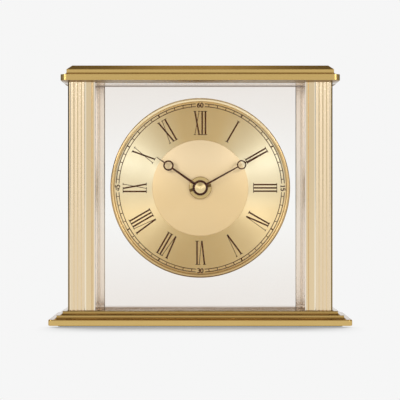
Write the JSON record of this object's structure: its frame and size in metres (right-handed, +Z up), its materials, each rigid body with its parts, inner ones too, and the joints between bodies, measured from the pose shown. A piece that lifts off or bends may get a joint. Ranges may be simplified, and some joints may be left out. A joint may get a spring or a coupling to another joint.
{
  "type": "mantel clock",
  "caption": "Flat-top mantel clock with a stepped brass base and cap, reeded pillars, clear panes, a round brass dial with Roman hours, ring-tipped hands and a geared quartz movement",
  "frame": {"origin": "centre of the felt face that the clock rests on", "axes": "+X to the right as the dial is read, +Y from the dial to the back, +Z up"},
  "size_m": [0.19, 0.0626, 0.1646],
  "materials": {
    "case_brass": "polished and lacquered",
    "pillar_brass": "polished and lacquered, reeded",
    "champagne_strip": "satin anodised",
    "clear_glass": "clear",
    "dial_brass": "spun and lacquered",
    "rim_brass": "polished",
    "hub_brass": "turned",
    "hand_brown": "dark brown lacquer",
    "felt": "felt",
    "painted_plate": "black paint",
    "steel_fastener": "zinc plated",
    "black_rubber": "matt",
    "black_plastic": "fine texture",
    "white_plastic": "moulded",
    "spring_steel": "nickel plated",
    "magnet": "sintered",
    "iron_sheet": "rolled",
    "copper_wire": "enamelled copper",
    "board": "solder mask",
    "crystal_can": "drawn can",
    "chip_black": "moulded",
    "cell_sleeve": "printed sleeve without words"
  },
  "bodies": {
    "case": {"felt_pad": "felt", "bottom_plate": "painted_plate", "bottom_screws": "steel_fastener", "base_plinth": "case_brass", "pillar_left": "pillar_brass", "pillar_right": "pillar_brass", "rear_bead_left": "champagne_strip", "rear_bead_right": "champagne_strip", "tie_screws": "steel_fastener", "tie_washers": "steel_fastener", "cap_lower": "case_brass", "cap_upper": "case_brass", "cap_screws": "steel_fastener", "front_glass": "clear_glass", "dial_glass": "clear_glass", "dial_plate": "dial_brass", "dial_rim": "rim_brass", "nut_washer": "steel_fastener", "fixing_nut": "hub_brass", "movement_gasket": "black_rubber", "movement_case": "black_plastic", "threaded_bush": "hub_brass", "middle_plate": "black_plastic", "rear_cover": "black_plastic", "cover_screws": "steel_fastener", "stator": "iron_sheet", "coil_core": "iron_sheet", "coil_bobbin": "white_plastic", "coil_winding": "copper_wire", "circuit_board": "board", "quartz_crystal": "crystal_can", "driver_chip": "chip_black", "contact_positive": "spring_steel", "contact_negative": "spring_steel"},
    "minute_set": {"minute_hand": "hand_brown", "hand_cap": "hub_brass", "minute_arbor": "white_plastic", "clutch_spring": "spring_steel"},
    "hour_set": {"hour_hand": "hand_brown", "hour_wheel": "white_plastic"},
    "motion_gear": {"motion_wheel": "white_plastic"},
    "setter": {"setting_arbor": "white_plastic", "setting_knob": "black_plastic"},
    "centre_gear": {"centre_wheel": "white_plastic"},
    "third_gear": {"third_wheel": "white_plastic"},
    "seconds_gear": {"seconds_wheel": "white_plastic"},
    "intermediate_gear": {"intermediate_wheel": "white_plastic"},
    "rotor_set": {"rotor": "white_plastic", "rotor_magnet": "magnet"},
    "cell": {"battery": "cell_sleeve"}
  },
  "joints": [
    {"name": "minute_spin", "type": "hinge", "parent": "case", "child": "minute_set", "pos_m": [0, 0.0063, 0.0872], "axis": [0, 1, 0], "continuous": true},
    {"name": "hour_spin", "type": "hinge", "parent": "case", "child": "hour_set", "pos_m": [0, 0.0048, 0.0872], "axis": [0, 1, 0], "continuous": true},
    {"name": "motion_spin", "type": "hinge", "parent": "case", "child": "motion_gear", "pos_m": [-0.01039, 0.0063, 0.0932], "axis": [0, 1, 0], "continuous": true},
    {"name": "setting_spin", "type": "hinge", "parent": "case", "child": "setter", "pos_m": [-0.02103, 0.0063, 0.10151], "axis": [0, 1, 0], "continuous": true},
    {"name": "intermediate_spin", "type": "hinge", "parent": "case", "child": "intermediate_gear", "pos_m": [0.01, 0.0127, 0.0872], "axis": [0, 1, 0], "continuous": true},
    {"name": "rotor_spin", "type": "hinge", "parent": "case", "child": "rotor_set", "pos_m": [0.01623, 0.0103, 0.0908], "axis": [0, 1, 0], "continuous": true},
    {"name": "seconds_spin", "type": "hinge", "parent": "case", "child": "seconds_gear", "pos_m": [0, 0.0115, 0.0872], "axis": [0, 1, 0], "continuous": true},
    {"name": "third_spin", "type": "hinge", "parent": "case", "child": "third_gear", "pos_m": [0.00167, 0.0103, 0.09666], "axis": [0, 1, 0], "continuous": true},
    {"name": "centre_spin", "type": "hinge", "parent": "case", "child": "centre_gear", "pos_m": [0, 0.009, 0.0872], "axis": [0, 1, 0], "continuous": true},
    {"name": "battery_slide", "type": "slide", "parent": "case", "child": "cell", "axis": [0, 1, 0], "range_m": [0, 0.03]}
  ],
  "couplings": [
    {"joint": "hour_spin", "follows": "minute_spin", "ratio": 0.083333},
    {"joint": "motion_spin", "follows": "minute_spin", "ratio": -0.33333},
    {"joint": "setting_spin", "follows": "minute_spin", "ratio": 0.66667},
    {"joint": "rotor_spin", "follows": "intermediate_spin", "ratio": -5},
    {"joint": "seconds_spin", "follows": "intermediate_spin", "ratio": -0.16667},
    {"joint": "third_spin", "follows": "intermediate_spin", "ratio": 0.022222},
    {"joint": "centre_spin", "follows": "intermediate_spin", "ratio": -0.0027778}
  ]
}
